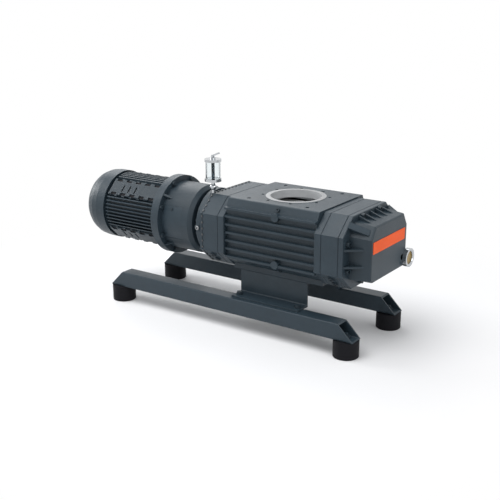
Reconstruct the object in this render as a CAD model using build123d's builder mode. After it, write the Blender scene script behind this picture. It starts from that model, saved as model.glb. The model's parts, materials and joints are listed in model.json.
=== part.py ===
"""Roots vacuum pump: two-lobe rotors in a ribbed casing, geared at one end and driven at the
other through a bell housing by a flange motor, all carried on two rails with rubber feet.

Frame: millimetres, +Z up, the shafts along X with the motor towards -X and the gear cover
towards +X. Z = 0 is the floor and the origin is the middle of the footprint.
"""

import os
from math import atan2, cos, degrees, hypot, pi, radians, sin, sqrt, tan

from build123d import *

os.makedirs("parts", exist_ok=True)

# ---------------------------------------------------------------- base frame sizes
rail_length = 900.0
rail_size = 50.0
rail_wall = 4.0
rail_spacing = 266.0  # centre to centre
rail_overhang = 285.0  # from the inlet axis to the rails' tips on the gear side
foot_diameter = 75.0
foot_height = 50.0
foot_plate = 3.0
foot_inset = 31.5  # foot centre from the rail's tip
foot_stud = 12.0
bracket_thickness = 6.0
bracket_length = 234.0
bracket_shift = -17.0  # bracket centre from the inlet axis
bracket_web_y = 95.0  # outer face of the web from the middle plane
bracket_foot_reach = 12.0  # how far the flange passes the rail's middle
bracket_shelf = 42.0  # width of the flange under the casing
bracket_screw = 10.0
bracket_screw_spacing = 206.0
bracket_cutout = 180.0  # round clearance in the shelf for the outlet flange

# ---------------------------------------------------------------- pump sizes
axis_height = 300.0
gear_module = 4.0
gear_teeth = 26
gear_backlash = 0.5
gear_width = 30.0
rotor_clearance = 0.4  # taken off the rotor profile all round
rotor_phase = 45.0
chamber_clearance = 0.4
end_clearance = 0.5
fit_clearance = 0.05  # radial, between a shaft and what sits on it
casing_length = 354.0
casing_flange = 22.0
casing_wall = 139.0  # half width over the wall between the ribs
outline_half_width = 155.0
outline_half_height = 98.0
outline_bottom = 113.0
outline_side_low = 65.0
outline_top_half = 99.0
outline_side_half = 48.0
seam_chamfer = 1.6
pad_height = 102.0  # inlet pad above the axis
pad_half_width = 125.0
panel_half_width = 137.0  # foot of the sloping panel under the pad
outlet_drop = 122.0  # outlet pad below the axis
outlet_half_width = 100.0
rib_pitch = 24.5
rib_count = 7
rib_tip = 6.0
rib_root = 9.5
rib_half_width = 149.0
face_height = 1.0  # raised sealing faces
inlet_bore = 153.0
inlet_face = 180.0
inlet_pcd = 200.0
inlet_screw = 10.0
outlet_bore = 102.0
outlet_face = 130.0
outlet_pcd = 145.0
outlet_screw = 8.0
port_seat = 80.0  # the round ports end this far from the axis height, clear of the chamber
port_relief = 3.5
port_screw_count = 8
port_screw_depth = 18.0
corner_spacing = 200.0
corner_screw = 12.0
drive_plate_thickness = 57.0
gear_plate_thickness = 54.0
seal_cover_thickness = 10.0
shaft_diameter = 40.0
journal_diameter = 35.0
bearing_outer = 80.0
bearing_width = 21.0
bearing_ring = 7.5
seal_outer = 62.0
seal_width = 10.0
plate_screw = 10.0
plug_diameter = 26.0
plug_height = 5.0
boss_diameter = 24.0

# ---------------------------------------------------------------- gear cover sizes
cover_flange = 15.0
cover_depth = 79.0
cover_wall = 7.0
cover_half_width = 110.0
cover_top_half = 88.0
cover_top = 75.0
cover_side_top = 40.0
cover_side_bottom = 76.0
cover_bottom = 85.0
cover_draft = 9.0  # how much wider the box is at its flange
cover_rib = 6.0
cover_screw = 10.0
sight_diameter = 56.0
sight_bore = 38.0
sight_height = 14.0
sight_y = 111.0
sight_drop = 61.0
label_length = 196.0
label_height = 34.0
label_thickness = 1.0

# ---------------------------------------------------------------- motor sizes
motor_flange_diameter = 250.0
motor_flange = 14.0
motor_screw = 8.0
motor_core = 96.0  # radius of the frame under the fins
motor_fin = 108.5  # radius over the fins
motor_bore = 88.0
motor_length = 225.0
fin_thickness = 3.0
side_fin_pitch = 11.5
side_fin_count = 9
top_fin_count = 9
top_fin_pitch = 10.0
foot_pad_radius = 106.0
foot_pad_width = 58.0
slot_pitch = 26.0
shield_thickness = 12.0
stator_bore = 62.0
stator_length = 120.0
motor_shaft = 28.0
air_gap = 0.8
cowl_radius = 112.0
cowl_wall = 2.5
cowl_overlap = 12.0
cowl_length = 98.0
fan_radius = 88.0
fan_blades = 7
box_width = 118.0
box_height = 104.0
box_depth = 50.0
box_lid = 9.0

# ---------------------------------------------------------------- bell housing sizes
bell_length = 161.0
bell_flange = 14.0
bell_land = 18.0  # width of the flange outside the barrel
bell_wall = 9.0
bell_neck_radius = 72.0
bell_screw_inset = 10.0
bell_neck = 34.0
window_length = 56.0
window_half_angle = 26.0
window_recess = 3.0
window_cover = 2.0
hub_diameter = 80.0
hub_length = 40.0
spider_thickness = 16.0

# ---------------------------------------------------------------- oiler sizes
oiler_glass = 45.0
oiler_glass_height = 52.0
oiler_glass_wall = 2.5
oiler_cap = 8.0
oiler_ball = 20.0

# ---------------------------------------------------------------- places worked out
centre_distance = gear_module * gear_teeth
drive_y = -centre_distance / 2
driven_y = centre_distance / 2
pitch_radius = centre_distance / 2
rotor_radius = 1.5 * pitch_radius
chamber_radius = rotor_radius + chamber_clearance
bell_radius = motor_flange_diameter / 2 - bell_land
motor_pcd = motor_flange_diameter - bell_land
bell_foot_radius = outline_half_width - centre_distance / 2
reach_motor = (
    casing_length / 2 + drive_plate_thickness + seal_cover_thickness + bell_length
    + motor_flange + motor_length + cowl_length
)
reach_gear = casing_length / 2 + gear_plate_thickness + cover_depth + sight_height
inlet_x = (reach_motor - reach_gear) / 2
casing_x0 = inlet_x - casing_length / 2
casing_x1 = inlet_x + casing_length / 2
drive_plate_x0 = casing_x0 - drive_plate_thickness
seal_cover_x0 = drive_plate_x0 - seal_cover_thickness
bell_x0 = seal_cover_x0 - bell_length
motor_flange_x0 = bell_x0 - motor_flange
motor_x0 = motor_flange_x0 - motor_length
cowl_x0 = motor_x0 - cowl_length
gear_plate_x1 = casing_x1 + gear_plate_thickness
cover_x1 = gear_plate_x1 + cover_depth
rail_x1 = inlet_x + rail_overhang
rail_x0 = rail_x1 - rail_length
rail_top = foot_height + rail_size
outlet_z = axis_height - outlet_drop
bracket_x = inlet_x + bracket_shift
foot_xs = (rail_x0 + foot_inset, rail_x1 - foot_inset)
rail_ys = (-rail_spacing / 2, rail_spacing / 2)
bracket_screw_xs = (
    bracket_x - bracket_screw_spacing / 2, bracket_x + bracket_screw_spacing / 2,
)
bracket_tip_y = rail_spacing / 2 + bracket_foot_reach
bracket_foot_y = rail_spacing / 2 - 10.0
bracket_shelf_y = bracket_web_y - bracket_shelf / 2 - 2.0


# ---------------------------------------------------------------- helpers
def save(piece, name):
    """Labels a finished piece and writes its STEP file."""
    piece.part.label = name
    export_step(piece.part, f"parts/{name}.step")


def station(x, y=0.0):
    """Plane across the shafts at x: local x is +Y, local y is +Z, centred on the axis height."""
    return Plane((x, y, axis_height), x_dir=(0, 1, 0), z_dir=(1, 0, 0))


def octagon(half_width, top, bottom, top_half, side_top, side_bottom, bottom_half=None):
    """Eight-sided plate about the axis height: upright sides, sloping shoulders, flat top."""
    low = top_half if bottom_half is None else bottom_half
    right = [
        (low, -bottom), (half_width, -side_bottom), (half_width, side_top), (top_half, top),
    ]
    left = [(-x, y) for x, y in reversed(right)]
    with BuildSketch() as face:
        with BuildLine():
            Polyline(*right, *left, close=True)
        make_face()
    return face.sketch


plate_outline = octagon(
    outline_half_width, outline_half_height, outline_bottom,
    outline_top_half, outline_side_half, outline_side_low,
)


def turned(profile, y=drive_y):
    """Solid of revolution about the shaft line at y, from a closed (x, radius) profile."""
    plane = Plane((0, y, axis_height), x_dir=(1, 0, 0), z_dir=(0, -1, 0))
    with BuildPart() as solid:
        with BuildSketch(plane):
            with BuildLine():
                Polyline(*profile, close=True)
            make_face()
        revolve(axis=Axis((0, y, axis_height), (1, 0, 0)))
    return solid.part


def tube(x0, x1, inner, outer, y=drive_y):
    """Plain ring or, with inner at 0, a plain disc about the shaft line at y."""
    return turned([(x0, inner), (x1, inner), (x1, outer), (x0, outer)], y)


def cap_screw(size, length):
    """Socket head screw on its own: head above Z = 0, shank below."""
    with BuildPart() as screw:
        Cylinder(size / 2, length, align=(Align.CENTER, Align.CENTER, Align.MAX))
        Cylinder(0.75 * size, size, align=(Align.CENTER, Align.CENTER, Align.MIN))
        with BuildSketch(Plane.XY.offset(size)):
            RegularPolygon(0.45 * size, 6)
        extrude(amount=-size / 2, mode=Mode.SUBTRACT)
    return screw.part


def hex_screw(size, length, washer=2.0):
    """Hexagon head screw with its washer: head above Z = 0, shank below."""
    with BuildPart() as screw:
        Cylinder(size / 2, length, align=(Align.CENTER, Align.CENTER, Align.MAX))
        Cylinder(size, washer, align=(Align.CENTER, Align.CENTER, Align.MIN))
        with BuildSketch(Plane.XY.offset(washer)):
            RegularPolygon(0.9 * size, 6)
        extrude(amount=0.65 * size)
    return screw.part


def placed(shape, planes):
    """Copies of a shape, each standing on one of the planes, as one group of solids."""
    with BuildPart() as group:
        for plane in planes:
            add(plane * shape)
    return group


def ring_planes(x, y, radius, count, start, outward):
    """Planes on a bolt circle about a shaft line, facing +X or -X."""
    planes = []
    for k in range(count):
        angle = radians(start + 360.0 * k / count)
        point = (x, y + radius * cos(angle), axis_height + radius * sin(angle))
        planes.append(Plane(point, x_dir=(0, 1, 0), z_dir=(outward, 0, 0)))
    return planes


# ================================================================ base frame
def rail(y, name):
    """Square tube with both ends cut at 45 degrees, open, with holes for feet and brackets."""
    half = rail_size / 2
    with BuildPart() as body:
        with BuildSketch(Plane.YZ.offset(rail_x0)):
            with Locations((y, foot_height + half)):
                RectangleRounded(rail_size, rail_size, rail_wall)
                RectangleRounded(rail_size - 2 * rail_wall, rail_size - 2 * rail_wall, 1.5, mode=Mode.SUBTRACT)
        extrude(amount=rail_length)
        # both ends cut at 45 degrees
        with BuildSketch(Plane((0, y, 0), x_dir=(1, 0, 0), z_dir=(0, -1, 0))):
            for tip, inward in ((rail_x0, 1), (rail_x1, -1)):
                with BuildLine():
                    Polyline(
                        (tip - inward * 5, foot_height + 1), (tip - inward * 1, foot_height + 1),
                        (tip + inward * rail_size, rail_top + 2), (tip - inward * 5, rail_top + 2), close=True,
                    )
                make_face()
        extrude(amount=rail_size, both=True, mode=Mode.SUBTRACT)
        for x in foot_xs:
            with Locations((x, y, foot_height + rail_wall / 2)):
                Cylinder(foot_stud / 2 + 0.5, rail_wall + 1, mode=Mode.SUBTRACT)
        for x in bracket_screw_xs:
            with Locations((x, (bracket_foot_y if y > 0 else -bracket_foot_y), rail_top - rail_wall / 2)):
                Cylinder(bracket_screw / 2 + 0.3, rail_wall + 1, mode=Mode.SUBTRACT)
    save(body, name)


rail(rail_ys[0], "front_rail")
rail(rail_ys[1], "rear_rail")

foot_names = {
    (0, 0): "front_foot_motor_end", (1, 0): "front_foot_gear_end",
    (0, 1): "rear_foot_motor_end", (1, 1): "rear_foot_gear_end",
}
for (i, j), foot_name in foot_names.items():
    with BuildPart(Plane((foot_xs[i], rail_ys[j], 0))) as foot:
        Cylinder(foot_diameter / 2, foot_height, align=(Align.CENTER, Align.CENTER, Align.MIN))
        chamfer(foot.edges().sort_by(Axis.Z)[0], 1.5)
        with Locations((0, 0, foot_height / 2)):
            Cylinder(
                foot_stud / 2 + fit_clearance, foot_height / 2 + 1,
                align=(Align.CENTER, Align.CENTER, Align.MIN), mode=Mode.SUBTRACT,
            )
    save(foot, foot_name)

with BuildPart() as foot_studs:
    for x in foot_xs:
        for y in rail_ys:
            with Locations((x, y, foot_height / 2)):
                Cylinder(foot_stud / 2, foot_height / 2 + rail_wall + 16.0, align=(Align.CENTER, Align.CENTER, Align.MIN))
            with BuildSketch(Plane.XY.offset(foot_height + rail_wall)):
                with Locations((x, y)):
                    RegularPolygon(0.95 * foot_stud, 6)
            extrude(amount=0.8 * foot_stud)
save(foot_studs, "foot_studs")


def bracket(side, name):
    """Z-shaped bracket: flange on the rail, upright web, shelf under the outlet pad."""
    shelf_z = outlet_z
    web_outer = bracket_web_y
    web_inner = bracket_web_y - bracket_thickness
    points = [
        (bracket_tip_y, rail_top), (web_inner, rail_top),
        (web_inner, shelf_z - bracket_thickness), (web_outer - bracket_shelf, shelf_z - bracket_thickness),
        (web_outer - bracket_shelf, shelf_z), (web_outer, shelf_z),
        (web_outer, rail_top + bracket_thickness), (bracket_tip_y, rail_top + bracket_thickness),
    ]
    with BuildPart() as plate:
        with BuildSketch(Plane.YZ.offset(bracket_x - bracket_length / 2)):
            with BuildLine():
                Polyline(*[(side * y, z) for y, z in points], close=True)
            make_face()
        extrude(amount=bracket_length)
        bends = plate.edges().filter_by(Axis.X)
        inner_bend = bends.sort_by_distance((bracket_x, side * web_outer, rail_top + bracket_thickness))[0]
        outer_bend = bends.sort_by_distance((bracket_x, side * web_outer, shelf_z))[0]
        fillet(inner_bend, 4.0)
        fillet(outer_bend, bracket_thickness)
        with Locations((inlet_x, 0, shelf_z)):
            Cylinder(bracket_cutout / 2, 2 * bracket_thickness + 2, mode=Mode.SUBTRACT)
        for x in bracket_screw_xs:
            with Locations((x, side * bracket_shelf_y, shelf_z - bracket_thickness / 2)):
                Cylinder(bracket_screw / 2 + 0.3, bracket_thickness + 1, mode=Mode.SUBTRACT)
            with Locations((x, side * bracket_foot_y, rail_top + bracket_thickness / 2)):
                Cylinder(bracket_screw / 2 + 0.3, bracket_thickness + 1, mode=Mode.SUBTRACT)
    save(plate, name)


bracket(-1, "front_bracket")
bracket(1, "rear_bracket")

with BuildPart() as bracket_screws:
    with BuildPart(mode=Mode.PRIVATE) as shelf_screw:
        add(hex_screw(bracket_screw, 26.0))
    for x in bracket_screw_xs:
        for side in (-1, 1):
            up = Plane((x, side * bracket_shelf_y, outlet_z - bracket_thickness), z_dir=(0, 0, -1))
            add(up * shelf_screw.part)
            down = Plane((x, side * bracket_foot_y, rail_top + bracket_thickness))
            add(down * shelf_screw.part)
save(bracket_screws, "bracket_screws")

# ================================================================ casing
with BuildPart() as casing:
    inner_length = casing_length - 2 * casing_flange
    inner_x0 = casing_x0 + casing_flange
    panel_z = rib_pitch * (rib_count - 1) / 2 + rib_tip / 2
    section = [
        (outlet_half_width, -outlet_drop), (outlet_half_width, -106.0), (casing_wall - 4, -panel_z - 6),
        (casing_wall, -panel_z + 8), (casing_wall, panel_z - 8), (panel_half_width, panel_z),
        (pad_half_width, pad_height),
    ]
    with BuildSketch(station(inner_x0)):
        with BuildLine():
            Polyline(*section, *[(-y, z) for y, z in reversed(section)], close=True)
        make_face()
    extrude(amount=inner_length)
    fillet(casing.edges().filter_by(Axis.X).group_by(Axis.Z)[-1], 5.0)
    # cooling ribs, thicker at the wall
    for k in range(rib_count):
        z = rib_pitch * (k - (rib_count - 1) / 2)
        with BuildSketch(station(inner_x0)):
            for side in (-1, 1):
                with BuildLine():
                    Polyline(
                        (side * (casing_wall - 6), z - rib_root / 2), (side * rib_half_width, z - rib_tip / 2),
                        (side * rib_half_width, z + rib_tip / 2), (side * (casing_wall - 6), z + rib_root / 2),
                        close=True,
                    )
                make_face()
        extrude(amount=inner_length)
    # round bosses half way along, on the ribs and on the sloping panels
    for side in (-1, 1):
        for z in (-70.0, 70.0):
            with BuildSketch(Plane((inlet_x + 22, side * 120, axis_height + z), x_dir=(1, 0, 0), z_dir=(0, side, 0))):
                Circle(boss_diameter / 2)
            extrude(amount=rib_half_width + 2.0 - 120)
    # end flanges
    for x0 in (casing_x0, casing_x1 - casing_flange):
        with BuildPart() as flange:
            with BuildSketch(station(x0)):
                add(plate_outline)
            extrude(amount=casing_flange)
            rim = flange.edges().filter_by(Axis.X, reverse=True)
            chamfer(rim, seam_chamfer)
    # raised sealing face round the inlet
    with Locations((inlet_x, 0, axis_height + pad_height)):
        Cylinder(inlet_face / 2, face_height, align=(Align.CENTER, Align.CENTER, Align.MIN))
    # rotor chamber: two overlapping bores right through
    with BuildSketch(station(casing_x0 - 1)):
        with Locations((drive_y, 0), (driven_y, 0)):
            Circle(chamber_radius)
    extrude(amount=casing_length + 2, mode=Mode.SUBTRACT)
    # inlet on top, outlet below
    for port, reach, way in ((inlet_bore, pad_height + face_height, 1), (outlet_bore, outlet_drop, -1)):
        with BuildSketch(Plane((inlet_x, 0, axis_height + way * port_seat), z_dir=(0, 0, way))):
            Circle(port / 2)
        extrude(amount=reach - port_seat, mode=Mode.SUBTRACT)
        # relief between the round port and the chamber
        with BuildSketch(Plane((inlet_x, 0, axis_height + way * port_seat), z_dir=(0, 0, -way))):
            Circle(port / 2 + port_relief)
        extrude(amount=port_seat / 2, mode=Mode.SUBTRACT)
    with BuildSketch(Plane((inlet_x, 0, axis_height + pad_height))):
        with PolarLocations(inlet_pcd / 2, port_screw_count, start_angle=22.5):
            Circle(inlet_screw / 2)
    extrude(amount=-port_screw_depth, mode=Mode.SUBTRACT)
    with BuildSketch(Plane((inlet_x, 0, axis_height + pad_height))):
        with GridLocations(corner_spacing, corner_spacing, 2, 2):
            Circle(corner_screw / 2)
    extrude(amount=-port_screw_depth, mode=Mode.SUBTRACT)
    with BuildSketch(Plane((inlet_x, 0, outlet_z), z_dir=(0, 0, -1))):
        with PolarLocations(outlet_pcd / 2, port_screw_count, start_angle=22.5):
            Circle(outlet_screw / 2)
    extrude(amount=-port_screw_depth, mode=Mode.SUBTRACT)
    # tapped holes for the screws that carry the casing
    for x in bracket_screw_xs:
        for side in (-1, 1):
            with Locations((x, side * bracket_shelf_y, outlet_z)):
                Cylinder(bracket_screw / 2, 26.0, align=(Align.CENTER, Align.CENTER, Align.MIN), mode=Mode.SUBTRACT)
save(casing, "casing")

# ================================================================ end plates
seal_cover_screws_at = [(y, sz * z) for y, z in ((141.0, 30.0), (117.0, 66.0), (58.0, 86.0)) for sz in (-1, 1)]
cover_flange_screws_at = [
    (sy * y, z) for sy in (-1, 1) for y, z in ((132.0, 26.0), (132.0, -52.0), (50.0, 90.0), (50.0, -100.0))
]
plate_inner_wall = 10.0
plate_seal_seat = plate_inner_wall + seal_width
plate_bearing_seat = plate_seal_seat + 4.0


def end_plate(inner_x, outward, thickness, recess, name):
    """Octagonal plate that closes one end of the casing and carries both shafts' bearings."""
    outer_x = inner_x + outward * thickness
    with BuildPart() as plate:
        with BuildSketch(station(inner_x)):
            add(plate_outline)
        extrude(amount=outward * thickness)
        chamfer(plate.edges().filter_by(Axis.X, reverse=True), seam_chamfer)
        with BuildSketch(station(inner_x)):
            with Locations((drive_y, 0), (driven_y, 0)):
                Circle(shaft_diameter / 2 + 1.0)
        extrude(amount=outward * thickness, mode=Mode.SUBTRACT)
        with BuildSketch(station(inner_x + outward * plate_inner_wall)):
            with Locations((drive_y, 0), (driven_y, 0)):
                Circle(seal_outer / 2)
        extrude(amount=outward * thickness, mode=Mode.SUBTRACT)
        with BuildSketch(station(inner_x + outward * plate_bearing_seat)):
            with Locations((drive_y, 0), (driven_y, 0)):
                Circle(bearing_outer / 2)
        extrude(amount=outward * thickness, mode=Mode.SUBTRACT)
        if recess:
            # room for the timing gears
            with BuildSketch(station(outer_x - outward * recess)):
                with Locations((drive_y, 0), (driven_y, 0)):
                    Circle(pitch_radius + gear_module + 3.0)
            extrude(amount=outward * (recess + 1), mode=Mode.SUBTRACT)
        for y, z in cover_flange_screws_at if outward > 0 else seal_cover_screws_at:
            with Locations((outer_x - outward * 8.0, y, axis_height + z)):
                Cylinder(plate_screw / 2 if outward > 0 else 4.0, 16.0, rotation=(0, 90, 0), mode=Mode.SUBTRACT)
    save(plate, name)


end_plate(casing_x0, -1, drive_plate_thickness, 0.0, "drive_end_plate")
end_plate(casing_x1, 1, gear_plate_thickness, 7.5, "gear_end_plate")

# seals and bearings sit in both plates, on both shafts
with BuildPart() as shaft_seals:
    for y in (drive_y, driven_y):
        for inner, outward in ((casing_x0, -1), (casing_x1, 1)):
            start = inner + outward * plate_inner_wall
            add(tube(start, start + outward * seal_width, shaft_diameter / 2 + fit_clearance, seal_outer / 2, y))
    add(tube(seal_cover_x0, seal_cover_x0 + seal_cover_thickness, journal_diameter / 2 + fit_clearance,
             seal_outer / 2, drive_y))
save(shaft_seals, "shaft_seals")


def bearing(x0, outward, y, name):
    """Sealed ball bearing: two rings, with the shields a little sunk between them."""
    end = x0 + outward * bearing_width
    inset = outward * 2.0
    inner = journal_diameter / 2 + fit_clearance
    with BuildPart() as piece:
        add(tube(x0, end, inner, inner + bearing_ring, y))
        add(tube(x0, end, bearing_outer / 2 - bearing_ring, bearing_outer / 2, y))
        add(tube(x0 + inset, end - inset, inner + bearing_ring, bearing_outer / 2 - bearing_ring, y))
    save(piece, name)


for y, shaft in ((drive_y, "drive"), (driven_y, "driven")):
    bearing(casing_x0 - plate_bearing_seat, -1, y, f"{shaft}_bearing_motor_end")
    bearing(casing_x1 + plate_bearing_seat, 1, y, f"{shaft}_bearing_gear_end")

# cover over the motor-side bearings
with BuildPart() as seal_cover:
    with BuildSketch(station(seal_cover_x0)):
        add(plate_outline)
    extrude(amount=seal_cover_thickness)
    chamfer(seal_cover.faces().sort_by(Axis.X)[0].edges(), seam_chamfer)
    # spigots reach in and hold the bearings
    for y in (drive_y, driven_y):
        seat = casing_x0 - plate_bearing_seat - bearing_width
        add(tube(seal_cover_x0 + seal_cover_thickness, seat, bearing_outer / 2 - 7.5, bearing_outer / 2, y))
    add(tube(seal_cover_x0 - 1, seal_cover_x0 + seal_cover_thickness + 1, 0, seal_outer / 2, drive_y), mode=Mode.SUBTRACT)
    with BuildSketch(station(seal_cover_x0)):
        with Locations(*seal_cover_screws_at):
            Circle(4.0)
    extrude(amount=6.0, mode=Mode.SUBTRACT)
save(seal_cover, "seal_cover")

with BuildPart() as seal_cover_screws:
    screw = cap_screw(8.0, 6.0)
    for y, z in seal_cover_screws_at:
        add(Plane((seal_cover_x0, y, axis_height + z), x_dir=(0, 1, 0), z_dir=(-1, 0, 0)) * screw)
save(seal_cover_screws, "seal_cover_screws")

# plugs on the lower shoulders of both plates
with BuildPart() as plate_plugs:
    for side in (-1, 1):
        for x in (casing_x0 - drive_plate_thickness / 2, casing_x1 + gear_plate_thickness / 2):
            for t in (0.30, 0.70):
                y = side * (outline_top_half + t * (outline_half_width - outline_top_half))
                z = axis_height - outline_bottom + t * (outline_bottom - outline_side_low)
                out = Vector(0, side * (outline_bottom - outline_side_low),
                             -(outline_half_width - outline_top_half)).normalized()
                with BuildSketch(Plane((x, y, z), x_dir=(1, 0, 0), z_dir=out)):
                    Circle(9.0)
                extrude(amount=plug_height)
                with BuildSketch(Plane(Vector(x, y, z) + out * plug_height, x_dir=(1, 0, 0), z_dir=out)):
                    RegularPolygon(5.0, 6)
                extrude(amount=-3.0, mode=Mode.SUBTRACT)

# ================================================================ rotors, shafts and timing gears
def rotor_profile():
    """Two-lobe cycloidal outline, taken in by the rotor clearance."""
    roll = pitch_radius / 4
    count = 14
    points = []
    for arc in range(4):
        start = arc * pi / 2
        bulge = 1 if arc % 2 == 0 else -1
        for i in range(count):
            t = (i + 0.5) / count * pi / 2
            centre = pitch_radius + bulge * roll
            turn = t * centre / roll
            x = centre * cos(t) - bulge * roll * cos(turn)
            y = centre * sin(t) - roll * sin(turn)
            px, py = pitch_radius * cos(t), pitch_radius * sin(t)
            gap = hypot(x - px, y - py)
            x -= bulge * rotor_clearance * (x - px) / gap
            y -= bulge * rotor_clearance * (y - py) / gap
            points.append((x * cos(start) - y * sin(start), x * sin(start) + y * cos(start)))
    return points


def rotor(y, name):
    x0 = casing_x0 + end_clearance
    length = casing_length - 2 * end_clearance
    with BuildPart() as piece:
        with BuildSketch(station(x0, y)):
            with BuildLine():
                Spline(*rotor_profile(), periodic=True)
            make_face()
            Circle(shaft_diameter / 2, mode=Mode.SUBTRACT)
        extrude(amount=length)
        # lightening holes through the lobes
        with BuildSketch(station(x0, y)):
            with Locations(*[(54 * cos(radians(a)), 54 * sin(radians(a))) for a in (rotor_phase, rotor_phase + 180)]):
                Circle(11.0)
        extrude(amount=length, mode=Mode.SUBTRACT)
    save(piece, name)


rotor(drive_y, "drive_rotor")
rotor(driven_y, "driven_rotor")

gear_x0 = casing_x1 + plate_bearing_seat + bearing_width + 4.0
gear_x1 = gear_x0 + gear_width
shaft_end_x1 = gear_x1 + 12.0
hub_gap = 8.0
motor_hub_x0 = bell_x0 + hub_gap
spider_x0 = motor_hub_x0 + hub_length
pump_hub_x0 = spider_x0 + spider_thickness
pump_hub_x1 = pump_hub_x0 + hub_length
stub_radius = 15.0


def rotor_shaft(y, stub, name):
    """Stepped shaft under a rotor, with journals for the bearings and a seat for the gear."""
    body = shaft_diameter / 2
    journal = journal_diameter / 2
    left = casing_x0 - plate_seal_seat
    right = casing_x1 + plate_seal_seat
    profile = [(left, 0), (left, body), (right, body), (right, journal), (shaft_end_x1, journal), (shaft_end_x1, 0)]
    if stub:
        ahead = [(pump_hub_x0 + 1, 0), (pump_hub_x0 + 1, stub_radius), (pump_hub_x1, stub_radius),
                 (pump_hub_x1, journal), (left, journal)]
    else:
        last = casing_x0 - plate_bearing_seat - bearing_width - 2
        ahead = [(last, 0), (last, journal), (left, journal)]
    with BuildPart() as shaft:
        add(turned(ahead + profile[1:], y))
        chamfer(shaft.edges().filter_by(GeomType.CIRCLE).sort_by(Axis.X)[-1], 1.5)
    save(shaft, name)


rotor_shaft(drive_y, True, "drive_shaft")
rotor_shaft(driven_y, False, "driven_shaft")


def gear(y, offset, name):
    """Spur timing gear with involute flanks, thinned for backlash."""
    pitch_angle = 2 * pi / gear_teeth
    base = pitch_radius * cos(radians(20))
    outer = pitch_radius + gear_module
    root = pitch_radius - 1.25 * gear_module
    half = pi / (2 * gear_teeth) - gear_backlash / (4 * pitch_radius)
    involute = tan(radians(20)) - radians(20)
    flank = []
    for i in range(6):
        radius = base + (outer - base) * i / 5
        roll = sqrt(max((radius / base) ** 2 - 1, 0.0))
        flank.append((radius, half + involute - (roll - atan2(roll, 1))))
    points = []
    for k in range(gear_teeth):
        middle = k * pitch_angle + offset
        points.append((root, middle - flank[0][1]))
        points += [(r, middle - a) for r, a in flank]
        points += [(r, middle + a) for r, a in reversed(flank)]
        points.append((root, middle + flank[0][1]))
    with BuildPart() as piece:
        with BuildSketch(station(gear_x0, y)):
            with BuildLine():
                Polyline(*[(r * cos(a), r * sin(a)) for r, a in points], close=True)
            make_face()
            Circle(journal_diameter / 2, mode=Mode.SUBTRACT)
        extrude(amount=gear_width)
        # recessed web with six holes
        for x, way in ((gear_x0, 1), (gear_x1, -1)):
            with BuildSketch(station(x, y)):
                Circle(root - 6)
                Circle(journal_diameter / 2 + 9, mode=Mode.SUBTRACT)
            extrude(amount=way * 8.0, mode=Mode.SUBTRACT)
    save(piece, name)


gear(drive_y, 0.0, "drive_gear")
gear(driven_y, pi / gear_teeth, "driven_gear")

for y, shaft in ((drive_y, "drive"), (driven_y, "driven")):
    with BuildPart() as clamp:
        add(tube(gear_x1, gear_x1 + 3, journal_diameter / 2 + fit_clearance, journal_diameter / 2 + 7, y))
        with BuildSketch(station(gear_x1 + 3, y)):
            RegularPolygon(journal_diameter / 2 + 7, 6, major_radius=True)
            Circle(journal_diameter / 2 + fit_clearance, mode=Mode.SUBTRACT)
        extrude(amount=8.0)
    save(clamp, f"{shaft}_gear_nut")

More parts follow.
